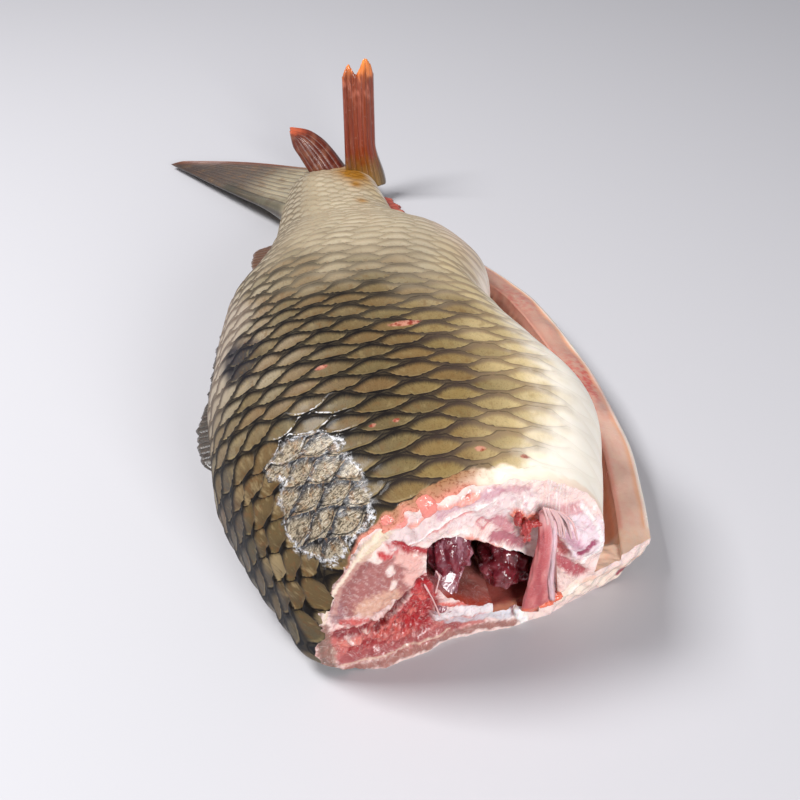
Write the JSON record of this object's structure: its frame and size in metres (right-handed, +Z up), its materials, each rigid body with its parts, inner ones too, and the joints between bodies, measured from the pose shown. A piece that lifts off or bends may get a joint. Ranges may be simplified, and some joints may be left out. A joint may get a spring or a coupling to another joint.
{
  "type": "raw headless gutted carp",
  "caption": "Raw headless, gutted carp lying on its flank, with scaled skin, open belly cavity, bloody cut end, trimmed fins and a folded tail.",
  "frame": {"origin": "centre of the bounding box, on the surface that the fish lies on", "axes": "+Y from the cut end to the tail, +X from back to belly, +Z up out of the flank that lies up"},
  "size_m": [0.1698, 0.3946, 0.081],
  "materials": {
    "scaly_skin": "wet olive-gold scales with dark rims, pale grey towards the tail, creamy white belly",
    "cut_flesh": "wet translucent pink muscle with red blood and white fat",
    "fin_rays": "damp ribbed fin skin, rust red on the lower tail lobe and dark grey-brown on the upper one",
    "gut_lining": "moist pale lining of the belly wall, pearly and pinkish",
    "organ": "glossy dark purple-red organ tissue"
  },
  "bodies": {
    "root": {"carcass": "scaly_skin", "hanging_strip": "cut_flesh", "organ_lobe_near": "organ", "organ_lobe_far": "organ", "tail_flat_lobe": "fin_rays", "tail_standing_lobe": "fin_rays", "tail_middle_rays": "fin_rays"}
  },
  "joints": []
}
